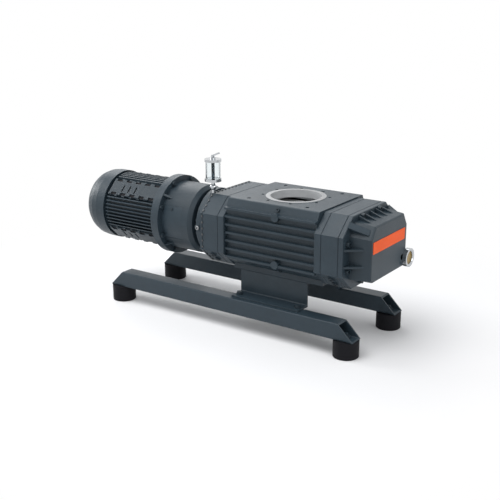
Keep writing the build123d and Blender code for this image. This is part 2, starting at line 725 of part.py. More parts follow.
# ================================================================ gear cover
label_z = 16.0  # middle of the label above the axis
box_outer = octagon(
    cover_half_width, cover_top, cover_bottom, cover_top_half, cover_side_top, cover_side_bottom, 92.0
)
box_root = octagon(
    cover_half_width + cover_draft, cover_top + 5, cover_bottom + 2,
    cover_top_half + 5, cover_side_top + 5, cover_side_bottom + 2, 92.0,
)
box_inner = octagon(
    cover_half_width - cover_wall, cover_top - cover_wall, cover_bottom - cover_wall,
    cover_top_half - cover_wall, cover_side_top - 3, cover_side_bottom - 3, 88.0,
)
cover_inner_x = cover_x1 - cover_wall
with BuildPart() as gear_cover:
    with BuildSketch(station(gear_plate_x1)):
        add(plate_outline)
    extrude(amount=cover_flange)
    chamfer(gear_cover.edges().filter_by(Axis.X, reverse=True), seam_chamfer)
    with BuildSketch(station(gear_plate_x1 + cover_flange)):
        add(box_root)
    with BuildSketch(station(cover_x1)):
        add(box_outer)
    loft(ruled=True)
    rim = gear_cover.faces().sort_by(Axis.X)[-1].edges()
    fillet(rim, 6.0)
    # ribs from the flange up to the box: sides, top, and the two thick ones on the shoulders
    rib_start = gear_plate_x1 + cover_flange
    for side in (-1, 1):
        for z in (-38.0, 11.0):
            with BuildSketch(Plane((rib_start, 0, axis_height + z))):
                with BuildLine():
                    Polyline(
                        (-1, side * (cover_half_width - 4)), (-1, side * (outline_half_width - 6)),
                        (cover_depth - cover_flange - 18, side * (cover_half_width + 1)),
                        (cover_depth - cover_flange - 18, side * (cover_half_width - 4)), close=True,
                    )
                make_face()
            extrude(amount=cover_rib / 2, both=True)
        wedge = Plane(
            (rib_start, side * 99, axis_height + 57),
            x_dir=(1, 0, 0), z_dir=(0, -side * sin(radians(42)), cos(radians(42))),
        )
        with BuildSketch(wedge):
            with BuildLine():
                Polyline((-1, -side * 12), (-1, side * 34), (52, side * 4), (52, -side * 12), close=True)
            make_face()
        extrude(amount=9.0, both=True)
    for y in (-66.0, -33.0, 0.0, 33.0, 66.0):
        with BuildSketch(Plane((rib_start, y, 0), x_dir=(1, 0, 0), z_dir=(0, -1, 0))):
            with BuildLine():
                Polyline(
                    (-1, axis_height + cover_top - 4), (-1, axis_height + outline_half_height - 5),
                    (cover_depth - cover_flange - 22, axis_height + cover_top + 1),
                    (cover_depth - cover_flange - 22, axis_height + cover_top - 4), close=True,
                )
            make_face()
        extrude(amount=cover_rib / 2, both=True)
    # hollow inside, wider round the timing gears
    with BuildSketch(station(gear_plate_x1 - 1)):
        add(box_inner)
    extrude(amount=cover_inner_x - gear_plate_x1 + 1, mode=Mode.SUBTRACT)
    with BuildSketch(station(gear_plate_x1 - 1)):
        add(octagon(
            cover_half_width + 1.5, cover_top - cover_wall, cover_bottom - cover_wall,
            cover_top_half - cover_wall, cover_side_top - 3, cover_side_bottom - 3, 88.0,
        ))
    extrude(amount=gear_x1 - gear_plate_x1 + 4, mode=Mode.SUBTRACT)
    with BuildSketch(station(gear_plate_x1)):
        with Locations(*cover_flange_screws_at):
            Circle(cover_screw / 2)
    extrude(amount=cover_flange, mode=Mode.SUBTRACT)
    # round seat for the oil sight glass
    with BuildSketch(station(cover_x1 - cover_wall)):
        with Locations((cover_half_width - 23.0, -sight_drop + 6.0)):
            Circle(10.0)
    extrude(amount=cover_wall, mode=Mode.SUBTRACT)
save(gear_cover, "gear_cover")

with BuildPart() as gear_cover_screws:
    screw = cap_screw(cover_screw, cover_flange + 14.0)
    for y, z in cover_flange_screws_at:
        add(Plane((gear_plate_x1 + cover_flange, y, axis_height + z), x_dir=(0, 1, 0), z_dir=(1, 0, 0)) * screw)
save(gear_cover_screws, "gear_cover_screws")

with BuildPart() as label_plate:
    with BuildSketch(station(cover_x1)):
        with Locations((-3.0, label_z)):
            RectangleRounded(label_length, label_height, 3.0)
    extrude(amount=label_thickness)
save(label_plate, "label_plate")

# oil sight glass on a short boss, and the filling and draining plugs
sight = (sight_y, axis_height - sight_drop)
with BuildPart() as sight_ring:
    with BuildSketch(Plane((cover_x1, *sight), x_dir=(0, 1, 0), z_dir=(1, 0, 0))):
        Circle(sight_diameter / 2)
        Circle(sight_bore / 2, mode=Mode.SUBTRACT)
    extrude(amount=sight_height)
    chamfer(sight_ring.edges().sort_by(Axis.X)[-1], 2.0)
save(sight_ring, "sight_ring")

with BuildPart() as sight_glass:
    with BuildSketch(Plane((cover_x1 + 3, *sight), x_dir=(0, 1, 0), z_dir=(1, 0, 0))):
        Circle(sight_bore / 2)
    extrude(amount=6.0)
save(sight_glass, "sight_glass")

with BuildPart() as cover_plugs:
    drain = Plane((gear_plate_x1 + cover_flange + 24, 0, axis_height - cover_bottom - 2.0), z_dir=(0, 0, -1))
    with BuildSketch(drain):
        Circle(plug_diameter / 2)
    extrude(amount=6.0)
    with BuildSketch(drain.offset(6.0)):
        RegularPolygon(10.0, 6)
    extrude(amount=8.0)
save(cover_plugs, "cover_drain_plug")

# ================================================================ coupling
def jaws(x0, count, half_angle, inner, outer, start):
    """Sectors between two radii, one jaw deep, about the drive axis."""
    with BuildPart() as group:
        for k in range(count):
            middle = radians(start + 360.0 * k / count)
            half = radians(half_angle)
            edge = [(outer * cos(middle + t * half), outer * sin(middle + t * half)) for t in (-1, -0.33, 0.33, 1)]
            root = [(inner * cos(middle + t * half), inner * sin(middle + t * half)) for t in (1, 0.33, -0.33, -1)]
            with BuildSketch(station(x0, drive_y)):
                with BuildLine():
                    Polyline(*edge, *root, close=True)
                make_face()
            extrude(amount=spider_thickness)
    return group.part


def hub(x0, jaw_start, bore, name):
    with BuildPart() as piece:
        add(tube(x0, x0 + hub_length, bore, hub_diameter / 2))
        add(jaws(spider_x0, 3, 16.5, 22.0, hub_diameter / 2 - 1, jaw_start))
    save(piece, name)


hub(motor_hub_x0, 0.0, motor_shaft / 2, "motor_hub")
hub(pump_hub_x0, 60.0, stub_radius, "pump_hub")
with BuildPart() as spider:
    add(jaws(spider_x0, 6, 13.5, 15.0, hub_diameter / 2 - 2, 30.0))
    add(tube(spider_x0, spider_x0 + spider_thickness, 10.0, 21.5))
save(spider, "coupling_spider")

# ================================================================ bell housing
bell_body_x1 = seal_cover_x0 - bell_neck
window_x0 = bell_x0 + 27.0
window_x1 = window_x0 + window_length
window_angle = 180.0  # straight out to the front, measured from +Y about +X
window_lip = 6.0
bell_screw_count = 16
bell_screw_radius = bell_foot_radius - bell_screw_inset
bell_bolts = ring_planes(seal_cover_x0 - bell_flange, drive_y, bell_screw_radius, bell_screw_count, 11.25, -1)
motor_bolts = ring_planes(bell_x0 + bell_flange, drive_y, motor_pcd / 2, 8, 22.5, 1)


def window_sector(x0, x1, half_angle, inner, outer):
    """Pieces of ring that fill both coupling windows, over a length and a depth."""
    with BuildPart() as wedges:
        for angle in (window_angle, window_angle + 180):
            middle = radians(angle)
            spread = radians(half_angle)
            far = 2 * outer
            with BuildSketch(station(x0, drive_y)):
                with BuildLine():
                    Polyline(
                        (0, 0), (far * cos(middle - spread), far * sin(middle - spread)),
                        (far * cos(middle + spread), far * sin(middle + spread)), close=True,
                    )
                make_face()
            extrude(amount=x1 - x0)
    return wedges.part & tube(x0, x1, inner, outer)


with BuildPart() as bell:
    outer = motor_flange_diameter / 2
    neck = bell_neck_radius
    add(turned([
        (bell_x0, 92.0), (bell_x0, outer), (bell_x0 + bell_flange, outer), (bell_x0 + bell_flange, bell_radius),
        (bell_body_x1 - 12, bell_radius), (bell_body_x1, bell_radius - 10), (bell_body_x1 + 4, neck),
        (seal_cover_x0 - bell_flange, neck), (seal_cover_x0 - bell_flange, bell_foot_radius),
        (seal_cover_x0, bell_foot_radius), (seal_cover_x0, neck - bell_wall), (bell_body_x1 + 2, neck - bell_wall),
        (bell_body_x1 - 7, bell_radius - bell_wall - 10),
        (bell_body_x1 - 18, bell_radius - bell_wall), (bell_x0 + 8, bell_radius - bell_wall), (bell_x0 + 8, 92.0),
    ]))
    # ribs between the big flange and the barrel
    for angle in (42, 138, 222, 318):
        rib = Plane((bell_x0 + bell_flange, drive_y, axis_height), x_dir=(1, 0, 0),
                    z_dir=(0, -sin(radians(angle)), cos(radians(angle))))
        with BuildSketch(rib):
            with BuildLine():
                Polyline((-1, -(bell_radius - 4)), (-1, -(outer - 2)), (26, -(bell_radius + 0.5)),
                         (26, -(bell_radius - 4)), close=True)
            make_face()
        extrude(amount=3.0, both=True)
    # coupling windows, front and rear, each with a recess for its cover
    add(window_sector(window_x0 - window_lip, window_x1 + window_lip, window_half_angle + 3, bell_radius - window_recess,
                      bell_radius + 20), mode=Mode.SUBTRACT)
    add(window_sector(window_x0, window_x1, window_half_angle, 60.0, bell_radius + 20), mode=Mode.SUBTRACT)
    with BuildSketch(station(seal_cover_x0 - bell_flange, drive_y)):
        with PolarLocations(bell_screw_radius, bell_screw_count, start_angle=11.25):
            Circle(3.0)
    extrude(amount=bell_flange, mode=Mode.SUBTRACT)
    with BuildSketch(station(bell_x0, drive_y)):
        with PolarLocations(motor_pcd / 2, 8, start_angle=22.5):
            Circle(motor_screw / 2)
    extrude(amount=bell_flange, mode=Mode.SUBTRACT)
save(bell, "bell_housing")

# curved covers set into the recesses round the windows
with BuildPart() as window_covers:
    add(window_sector(window_x0 - window_lip, window_x1 + window_lip, window_half_angle + 3,
                      bell_radius - window_recess, bell_radius - window_recess + window_cover))
save(window_covers, "coupling_window_covers")

with BuildPart() as bell_screws:
    screw = cap_screw(6.0, 14.0)
    for plane in bell_bolts:
        add(plane * screw)
    # one screw holds each window cover at its upper edge
    for side in (-1, 1):
        angle = radians(window_half_angle - 3)
        radius = bell_radius - window_recess + window_cover
        out = (0, side * cos(angle), sin(angle))
        head = Plane((window_x0 + 24, drive_y + radius * out[1], axis_height + radius * out[2]),
                     x_dir=(1, 0, 0), z_dir=out)
        with BuildSketch(head):
            Circle(4.0)
        extrude(amount=2.5)
save(bell_screws, "bell_screws")

# test plug on the neck, on the front
with BuildPart() as housing_plugs:
    add(plate_plugs)
    plug = Plane((seal_cover_x0 - 21.0, drive_y - bell_neck_radius, axis_height - 3.0),
                 x_dir=(1, 0, 0), z_dir=(0, -1, 0))
    with BuildSketch(plug):
        Circle(7.0)
        Circle(2.5, mode=Mode.SUBTRACT)
    extrude(amount=20.0)
    with BuildSketch(plug):
        Circle(7.0)
    extrude(amount=4.0)
    for side in (-1, 1):
        upper = (0, side * (pad_height - panel_z), panel_half_width - pad_half_width)
        lower = (0, side * (106.0 - panel_z - 6), -(casing_wall - 4 - outlet_half_width))
        for place, out in (
            (((pad_half_width + panel_half_width) / 2, (pad_height + panel_z) / 2), upper),
            (((casing_wall - 4 + outlet_half_width) / 2, -(112.0 + panel_z) / 2), lower),
        ):
            with BuildSketch(Plane((inlet_x + 22, side * place[0], axis_height + place[1]),
                                   x_dir=(1, 0, 0), z_dir=out)):
                Circle(6.0)
                Circle(2.5, mode=Mode.SUBTRACT)
            extrude(amount=5.0)
save(housing_plugs, "housing_plugs")
with BuildPart() as flange_bolts:
    bolt = hex_screw(motor_screw, bell_flange + motor_flange, 2.0)
    for plane in motor_bolts:
        add(plane * bolt)
save(flange_bolts, "motor_flange_bolts")

# ================================================================ motor
with BuildPart() as drive_shield:
    outer = motor_flange_diameter / 2
    add(turned([
        (motor_flange_x0, 31.0), (motor_flange_x0, outer), (bell_x0, outer), (bell_x0, 92.0),
        (bell_x0 + 4, 92.0), (bell_x0 + 4, 40.0), (bell_x0 - 4, 31.0),
    ]))
    add(tube(motor_flange_x0 - 22, motor_flange_x0, 31.0, 44.0))
    with BuildSketch(station(motor_flange_x0, drive_y)):
        with PolarLocations(motor_pcd / 2, 8, start_angle=22.5):
            Circle(motor_screw / 2)
    extrude(amount=motor_flange, mode=Mode.SUBTRACT)
save(drive_shield, "motor_flange_shield")

shield_rim = cowl_radius - cowl_wall - 3.0
with BuildPart() as fan_shield:
    add(turned([
        (motor_x0, 26.0), (motor_x0, shield_rim), (motor_x0 + shield_thickness, shield_rim),
        (motor_x0 + shield_thickness, motor_bore), (motor_x0 + shield_thickness + 6, motor_bore),
        (motor_x0 + shield_thickness + 6, motor_bore - 5), (motor_x0 + shield_thickness, motor_bore - 5),
        (motor_x0 + shield_thickness, 44.0), (motor_x0 + 26, 44.0), (motor_x0 + 26, 31.0), (motor_x0 + 6, 31.0),
        (motor_x0 + 6, 26.0),
    ]))
save(fan_shield, "motor_fan_shield")

frame_x0 = motor_x0 + shield_thickness
frame_length = motor_flange_x0 - frame_x0
with BuildPart() as motor_frame:
    with BuildSketch(station(frame_x0 + 8, drive_y)):
        for k in range(side_fin_count):
            with Locations((0, side_fin_pitch * (k - (side_fin_count - 1) / 2))):
                Rectangle(2 * motor_fin, fin_thickness)
        for k in range(top_fin_count):
            with Locations((top_fin_pitch * (k - (top_fin_count - 1) / 2), 0)):
                Rectangle(fin_thickness, 2 * motor_fin)
        for angle in (45, 135, 225, 315):
            with Locations(Rotation(0, 0, angle)):
                with Locations((foot_pad_radius / 2, 0)):
                    Rectangle(foot_pad_radius, foot_pad_width)
        Circle(motor_fin, mode=Mode.INTERSECT)
    extrude(amount=frame_length - 8)
    add(tube(frame_x0, motor_flange_x0, 0, motor_core))
    # short slots across the pads, and bosses along their edges
    for angle in (45, 135, 225, 315):
        out = (0, cos(radians(angle)), sin(radians(angle)))
        pad = Plane((0, drive_y + foot_pad_radius * out[1], axis_height + foot_pad_radius * out[2]),
                    x_dir=(1, 0, 0), z_dir=out)
        for k, slot_y in ((0, 6.0), (1, 6.0), (2, 6.0)):
            with BuildSketch(pad):
                with Locations((frame_x0 + 62 + slot_pitch * k, slot_y if out[1] * out[2] < 0 else -slot_y)):
                    Rectangle(4.0, 24.0)
            extrude(amount=-6.0, mode=Mode.SUBTRACT)
        for k in range(4):
            for edge_y in (-foot_pad_width / 2, foot_pad_width / 2):
                with BuildSketch(pad):
                    with Locations((frame_x0 + 42 + 1.2 * slot_pitch * k, edge_y)):
                        Rectangle(10.0, 6.0)
                extrude(amount=-8.0)
    add(tube(frame_x0 - 1, motor_flange_x0 + 1, 0, motor_bore), mode=Mode.SUBTRACT)
save(motor_frame, "motor_frame")

stator_x0 = frame_x0 + (frame_length - stator_length) / 2
with BuildPart() as stator:
    with BuildSketch(station(stator_x0, drive_y)):
        Circle(motor_bore)
        Circle(stator_bore, mode=Mode.SUBTRACT)
        with PolarLocations(stator_bore + 9.0, 24):
            Rectangle(13.0, 7.0, mode=Mode.SUBTRACT)
    extrude(amount=stator_length)
save(stator, "stator_core")
with BuildPart() as windings:
    with BuildSketch(station(stator_x0, drive_y)):
        with PolarLocations(stator_bore + 9.0, 24):
            Rectangle(13.0, 7.0)
    extrude(amount=stator_length)
    for x0, x1 in ((stator_x0 - 22, stator_x0), (stator_x0 + stator_length, stator_x0 + stator_length + 22)):
        add(tube(x0, x1, stator_bore + 3, motor_bore - 5))
save(windings, "stator_windings")

with BuildPart() as motor_rotor:
    add(tube(stator_x0, stator_x0 + stator_length, motor_shaft / 2 + 4, stator_bore - air_gap))
    add(tube(stator_x0 - 10, stator_x0 + stator_length + 10, stator_bore - 18, stator_bore - 4))
save(motor_rotor, "motor_rotor")

fan_x0 = motor_x0 - 42.0
with BuildPart() as spindle:
    add(turned([
        (fan_x0 - 2, 0), (fan_x0 - 2, 11), (motor_x0 + 6, 11), (motor_x0 + 6, 12.5), (motor_x0 + 26, 12.5),
        (motor_x0 + 26, motor_shaft / 2 + 4), (motor_flange_x0 - 22, motor_shaft / 2 + 4),
        (motor_flange_x0 - 22, motor_shaft / 2), (spider_x0 - 1, motor_shaft / 2), (spider_x0 - 1, 0),
    ]))
save(spindle, "motor_shaft")

with BuildPart() as motor_bearings:
    add(tube(motor_flange_x0 - 20, motor_flange_x0 - 4, motor_shaft / 2 + fit_clearance, 31.0))
    add(tube(motor_x0 + 8, motor_x0 + 24, 12.5 + fit_clearance, 31.0))
save(motor_bearings, "motor_bearings")

with BuildPart() as fan:
    add(tube(fan_x0, fan_x0 + 34, 11.0, 24.0))
    add(tube(fan_x0 + 28, fan_x0 + 32, 20.0, fan_radius))
    for k in range(fan_blades):
        with BuildSketch(station(fan_x0 + 3, drive_y)):
            with Locations(Rotation(0, 0, 360 * k / fan_blades)):
                with Locations(((fan_radius + 22) / 2, 0)):
                    Rectangle(fan_radius - 22, 3.0)
        extrude(amount=27.0)
save(fan, "cooling_fan")

# fan cowl: smooth shell with a rounded nose and a grille of round holes at the back
nose = 76.0
cowl_x1 = motor_x0 + cowl_overlap
with BuildPart() as cowl:
    arc_out = [
        (cowl_x0 + nose * (1 - cos(radians(a))), cowl_radius - nose + nose * sin(radians(a)))
        for a in (0, 12, 24, 36, 48, 60, 75, 90)
    ]
    inner = nose - cowl_wall
    arc_in = [
        (cowl_x0 + cowl_wall + inner * (1 - cos(radians(a))), cowl_radius - nose + inner * sin(radians(a)))
        for a in (90, 75, 60, 48, 36, 24, 12, 0)
    ]
    add(turned([
        (cowl_x0, 0), *arc_out, (cowl_x1, cowl_radius), (cowl_x1, cowl_radius - cowl_wall),
        *arc_in, (cowl_x0 + cowl_wall, 0),
    ]))
    with BuildSketch(station(cowl_x0 - 1, drive_y)):
        for radius, count in ((22.0, 8), (37.0, 14), (52.0, 20)):
            with PolarLocations(radius, count):
                Circle(4.5)
    extrude(amount=cowl_wall + 2, mode=Mode.SUBTRACT)
    # four lugs inside reach the end shield
    for angle in (45, 135, 225, 315):
        with BuildSketch(station(motor_x0 + 1, drive_y)):
            with Locations(Rotation(0, 0, angle)):
                with Locations((cowl_radius - cowl_wall - 1.0, 0)):
                    Rectangle(4.0, 14.0)
        extrude(amount=cowl_overlap - 2)
save(cowl, "fan_cowl")

# terminal box on the rear side of the motor
box_x = (frame_x0 + motor_flange_x0) / 2
box_y0 = drive_y + motor_core + 4.0
with BuildPart() as terminal_box:
    with BuildSketch(Plane((box_x, box_y0, axis_height), x_dir=(1, 0, 0), z_dir=(0, 1, 0))):
        RectangleRounded(box_width - 16, box_height - 16, 6.0)
    extrude(amount=20.0)
    with BuildSketch(Plane((box_x, box_y0 + 18, axis_height), x_dir=(1, 0, 0), z_dir=(0, 1, 0))):
        RectangleRounded(box_width, box_height, 8.0)
    extrude(amount=box_depth)
    with BuildSketch(Plane((box_x, box_y0 + 24, axis_height), x_dir=(1, 0, 0), z_dir=(0, 1, 0))):
        RectangleRounded(box_width - 8, box_height - 8, 5.0)
    extrude(amount=box_depth, mode=Mode.SUBTRACT)
    with Locations((box_x, box_y0 + 44, axis_height - box_height / 2 + 2)):
        Cylinder(10.0, 10.0, mode=Mode.SUBTRACT)
    # clear of the fins
    add(tube(frame_x0, motor_flange_x0, 0, motor_fin + 0.2), mode=Mode.SUBTRACT)
save(terminal_box, "terminal_box")

with BuildPart() as terminal_lid:
    with BuildSketch(Plane((box_x, box_y0 + 18 + box_depth, axis_height), x_dir=(1, 0, 0), z_dir=(0, 1, 0))):
        RectangleRounded(box_width, box_height, 8.0)
    extrude(amount=box_lid)
    chamfer(terminal_lid.faces().sort_by(Axis.Y)[-1].edges(), 1.5)
save(terminal_lid, "terminal_lid")

with BuildPart() as gland:
    with Locations((box_x, box_y0 + 44, axis_height - box_height / 2)):
        Cylinder(10.0, 6.0, align=(Align.CENTER, Align.CENTER, Align.MIN))
        Cylinder(14.0, 16.0, align=(Align.CENTER, Align.CENTER, Align.MAX))
        Cylinder(7.0, 40.0, mode=Mode.SUBTRACT)
save(gland, "cable_gland")

# ================================================================ oiler
oiler_x = seal_cover_x0 + 6.5
oiler_y = -outline_top_half + 7.0
oiler_base_z = axis_height + outline_half_height
ball_z = oiler_base_z + 8 + oiler_ball / 2
glass_z = ball_z + oiler_ball / 2 + 8 + oiler_cap


def upright(x, y, profile):
    """Solid of revolution about a vertical line, from a closed (radius, z) profile."""
    with BuildPart() as solid:
        with BuildSketch(Plane((x, y, 0), x_dir=(1, 0, 0), z_dir=(0, -1, 0))):
            with BuildLine():
                Polyline(*profile, close=True)
            make_face()
        revolve(axis=Axis((x, y, 0), (0, 0, 1)))
    return solid.part


with BuildPart() as oiler_base:
    add(upright(oiler_x, oiler_y, [
        (0, oiler_base_z), (6.0, oiler_base_z), (6.0, oiler_base_z + 8),
        (5.5, glass_z - oiler_cap), (oiler_glass / 2 + 3, glass_z - oiler_cap), (oiler_glass / 2 + 3, glass_z),
        (0, glass_z),
    ]))
    with Locations((oiler_x, oiler_y, ball_z)):
        Sphere(oiler_ball / 2)
save(oiler_base, "oiler_base")
with BuildPart() as oiler_glass_tube:
    radius = oiler_glass / 2
    add(upright(oiler_x, oiler_y, [
        (radius - oiler_glass_wall, glass_z), (radius, glass_z), (radius, glass_z + oiler_glass_height),
        (radius - oiler_glass_wall, glass_z + oiler_glass_height),
    ]))
save(oiler_glass_tube, "oiler_glass")
with BuildPart() as oiler_rod:
    add(upright(oiler_x, oiler_y, [
        (0, glass_z), (5.0, glass_z), (5.0, glass_z + oiler_glass_height), (0, glass_z + oiler_glass_height),
    ]))
save(oiler_rod, "oiler_needle")
top_z = glass_z + oiler_glass_height
with BuildPart() as oiler_top:
    add(upright(oiler_x, oiler_y, [
        (0, top_z), (oiler_glass / 2 + 3, top_z), (oiler_glass / 2 + 3, top_z + oiler_cap),
        (8.0, top_z + oiler_cap), (8.0, top_z + oiler_cap + 5), (0, top_z + oiler_cap + 5),
    ]))
save(oiler_top, "oiler_cap")
with BuildPart() as oiler_lever:
    pivot_z = top_z + oiler_cap + 5 + 4
    with Locations((oiler_x, oiler_y, pivot_z)):
        Cylinder(4.0, 8.0, rotation=(90, 0, 0))
    with BuildSketch(Plane((oiler_x, oiler_y, pivot_z), x_dir=(1, 0, 0), z_dir=(0, -1, 0))):
        with Locations(Rotation(0, 0, 25)):
            with Locations((12.0, 0)):
                SlotOverall(28.0, 5.0)
    extrude(amount=3.0, both=True)
save(oiler_lever, "oiler_lever")
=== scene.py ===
"""Looks of the roots vacuum pump: painted castings, rubber feet, glass oiler, machined inlet ring."""

import json
import math

import bmesh
import bpy
from mathutils import Matrix, Vector
from mathutils.geometry import convex_hull_2d


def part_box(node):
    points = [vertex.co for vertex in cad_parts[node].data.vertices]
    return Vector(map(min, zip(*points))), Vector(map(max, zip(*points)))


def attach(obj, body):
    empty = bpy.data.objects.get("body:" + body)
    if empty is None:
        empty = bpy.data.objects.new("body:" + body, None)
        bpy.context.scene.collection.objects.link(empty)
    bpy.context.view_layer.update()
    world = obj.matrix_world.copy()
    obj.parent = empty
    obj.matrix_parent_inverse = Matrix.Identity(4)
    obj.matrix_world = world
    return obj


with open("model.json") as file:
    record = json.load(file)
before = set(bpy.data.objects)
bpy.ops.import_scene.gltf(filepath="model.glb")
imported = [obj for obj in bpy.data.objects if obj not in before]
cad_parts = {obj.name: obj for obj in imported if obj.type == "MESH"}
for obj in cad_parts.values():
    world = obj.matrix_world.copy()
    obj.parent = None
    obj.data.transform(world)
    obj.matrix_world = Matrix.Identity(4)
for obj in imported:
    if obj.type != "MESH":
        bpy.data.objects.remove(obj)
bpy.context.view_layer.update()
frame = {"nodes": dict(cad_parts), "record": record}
scene = bpy.context.scene
NODES = frame["nodes"]

# ---------------------------------------------------------------- places, in metres
AXIS_Z = 0.300  # height of both shafts
DRIVE_Y = -0.052  # the shaft that the motor turns
casing_low, casing_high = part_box("casing")
inlet_x = (casing_low.x + casing_high.x) / 2
INLET_RING_RISE = 0.001
inlet_pad_z = casing_high.z - INLET_RING_RISE

# ---------------------------------------------------------------- colours and levels
SLATE = (0.021, 0.034, 0.045)
FLOOR_LIFT = 0.07
WORLD_LIGHT = 0.45


# ---------------------------------------------------------------- node helpers
class Nodes:
    """One node tree, emptied, with short calls for any kind of tree."""

    def __init__(self, tree):
        self.tree = tree
        self.tree.nodes.clear()

    def node(self, kind, **settings):
        made = self.tree.nodes.new(kind)
        for key, value in settings.items():
            setattr(made, key, value)
        return made

    def link(self, source, target):
        self.tree.links.new(source, target)

    def math(self, operation, a, b=None):
        made = self.node("ShaderNodeMath", operation=operation)
        for socket, value in zip(made.inputs, (a, b)):
            if value is None:
                continue
            if isinstance(value, (int, float)):
                socket.default_value = value
            else:
                self.link(value, socket)
        return made.outputs[0]

    def distance(self, a, b):
        """Length of the vector with sides a and b."""
        return self.math("SQRT", self.math("ADD", self.math("MULTIPLY", a, a), self.math("MULTIPLY", b, b)))


class Graph(Nodes):
    """A material's tree with its Principled shader and the textures used here."""

    def __init__(self, name):
        self.material = bpy.data.materials.new(name)
        self.material.use_nodes = True
        super().__init__(self.material.node_tree)
        self.output = self.node("ShaderNodeOutputMaterial")
        self.shader = self.node("ShaderNodeBsdfPrincipled")
        self.link(self.shader.outputs["BSDF"], self.output.inputs["Surface"])
        self.coords = self.node("ShaderNodeTexCoord").outputs["Object"]

    def set(self, **values):
        for key, value in values.items():
            self.shader.inputs[key.replace("_", " ")].default_value = value

    def noise(self, scale, detail=2.0, rough=0.5):
        made = self.node("ShaderNodeTexNoise")
        made.inputs["Scale"].default_value = scale
        made.inputs["Detail"].default_value = detail
        made.inputs["Roughness"].default_value = rough
        self.link(self.coords, made.inputs["Vector"])
        return made.outputs["Fac"]

    def position(self):
        """X, Y and Z outputs of the point that is shaded."""
        made = self.node("ShaderNodeSeparateXYZ")
        self.link(self.coords, made.inputs[0])
        return made.outputs

    def ramp(self, value, low, high, start=0.0, end=1.0):
        made = self.node("ShaderNodeMapRange")
        made.inputs["From Min"].default_value = start
        made.inputs["From Max"].default_value = end
        made.inputs["To Min"].default_value = low
        made.inputs["To Max"].default_value = high
        self.link(value, made.inputs["Value"])
        return made.outputs["Result"]

    def mix(self, factor, a, b):
        made = self.node("ShaderNodeMix", data_type="RGBA")
        self.link(factor, made.inputs["Factor"])
        for socket, value in ((made.inputs[6], a), (made.inputs[7], b)):
            if isinstance(value, tuple):
                socket.default_value = (*value, 1.0)
            else:
                self.link(value, socket)
        return made.outputs[2]

    def bump(self, height, distance, normal=None):
        made = self.node("ShaderNodeBump")
        made.inputs["Strength"].default_value = 1.0
        made.inputs["Distance"].default_value = distance
        self.link(height, made.inputs["Height"])
        if normal is not None:
            self.link(normal, made.inputs["Normal"])
        return made.outputs["Normal"]


def scaled(colour, factor):
    return tuple(min(1.0, channel * factor) for channel in colour)


def paint(name, base, grain, grain_depth, rough=(0.36, 0.46), variation=0.1, gloss=0.32):
    """Two-pack machine paint: soft mottling, orange peel, edges rubbed a little lighter."""
    g = Graph(name)
    mottle = g.ramp(g.noise(9.0, 4.0), 0, 1, 0.35, 0.65)
    colour = g.mix(mottle, scaled(base, 1 - variation), scaled(base, 1 + variation))
    worn = g.node("ShaderNodeNewGeometry").outputs["Pointiness"]
    edge = g.ramp(worn, 0, 0.5, 0.52, 0.6)
    colour = g.mix(g.math("MULTIPLY", edge, g.noise(60.0, 3.0)), colour, scaled(base, 1.6))
    g.link(colour, g.shader.inputs["Base Color"])
    g.link(g.ramp(g.noise(30.0, 3.0), *rough), g.shader.inputs["Roughness"])
    coarse = g.bump(g.noise(grain, 3.0, 0.55), grain_depth)
    g.link(g.bump(g.noise(grain * 6, 1.0), grain_depth * 0.25, normal=coarse), g.shader.inputs["Normal"])
    g.set(Specular_IOR_Level=gloss)
    return g


def metal(name, base, rough):
    """Bare or plated metal with a faint cloudiness and fine scratches."""
    g = Graph(name)
    tone = g.ramp(g.noise(40.0, 3.0), 0.0, 1.0, 0.3, 0.7)
    g.link(g.mix(tone, scaled(base, 0.93), scaled(base, 1.05)), g.shader.inputs["Base Color"])
    g.link(g.ramp(g.noise(120.0, 2.0), *rough), g.shader.inputs["Roughness"])
    g.link(g.bump(g.noise(900.0, 2.0), 0.00002), g.shader.inputs["Normal"])
    g.set(Metallic=1.0)
    return g


def rubber(name, base):
    """Dull rubber or plastic with a matt skin."""
    g = Graph(name)
    g.link(g.mix(g.noise(50.0, 4.0), scaled(base, 0.8), scaled(base, 1.35)), g.shader.inputs["Base Color"])
    g.link(g.ramp(g.noise(160.0, 2.0), 0.55, 0.75), g.shader.inputs["Roughness"])
    g.link(g.bump(g.noise(700.0, 2.0), 0.0001), g.shader.inputs["Normal"])
    g.set(Specular_IOR_Level=0.14)
    return g


CAST_GRAIN = dict(grain=420.0, grain_depth=0.00035)
casting = paint("painted_casting", SLATE, **CAST_GRAIN)
frame_paint = paint("painted_frame", SLATE, 900.0, 0.00012, rough=(0.34, 0.44), variation=0.05)
dark_paint = paint("dark_screws", scaled(SLATE, 0.75), 900.0, 0.0001)
orange = paint(
    "orange_plate", (0.85, 0.088, 0.006), 1200.0, 0.00003, rough=(0.4, 0.5), variation=0.04, gloss=0.2
)
steel = metal("machined_steel", (0.45, 0.46, 0.47), (0.25, 0.4))
zinc = metal("zinc_screws", (0.3, 0.31, 0.32), (0.3, 0.45))
dull = metal("dull_screws", (0.1, 0.105, 0.11), (0.4, 0.55))
chrome = metal("chrome_fittings", (0.5, 0.52, 0.54), (0.08, 0.16))
# rotors: bare-iron grey raised as painted light, lifting them out of the shade inside the chamber
iron_with_painted_light = paint("cast_rotor", (0.46, 0.47, 0.48), 500.0, 0.00005, rough=(0.3, 0.45), gloss=0.6)
black = rubber("black_rubber", (0.007, 0.007, 0.009))
seal = rubber("seal_rubber", (0.03, 0.02, 0.018))
red_rubber = rubber("spider_rubber", (0.35, 0.03, 0.02))
plastic = rubber("black_plastic", (0.03, 0.03, 0.035))
copper = metal("copper_windings", (0.6, 0.25, 0.12), (0.3, 0.45))

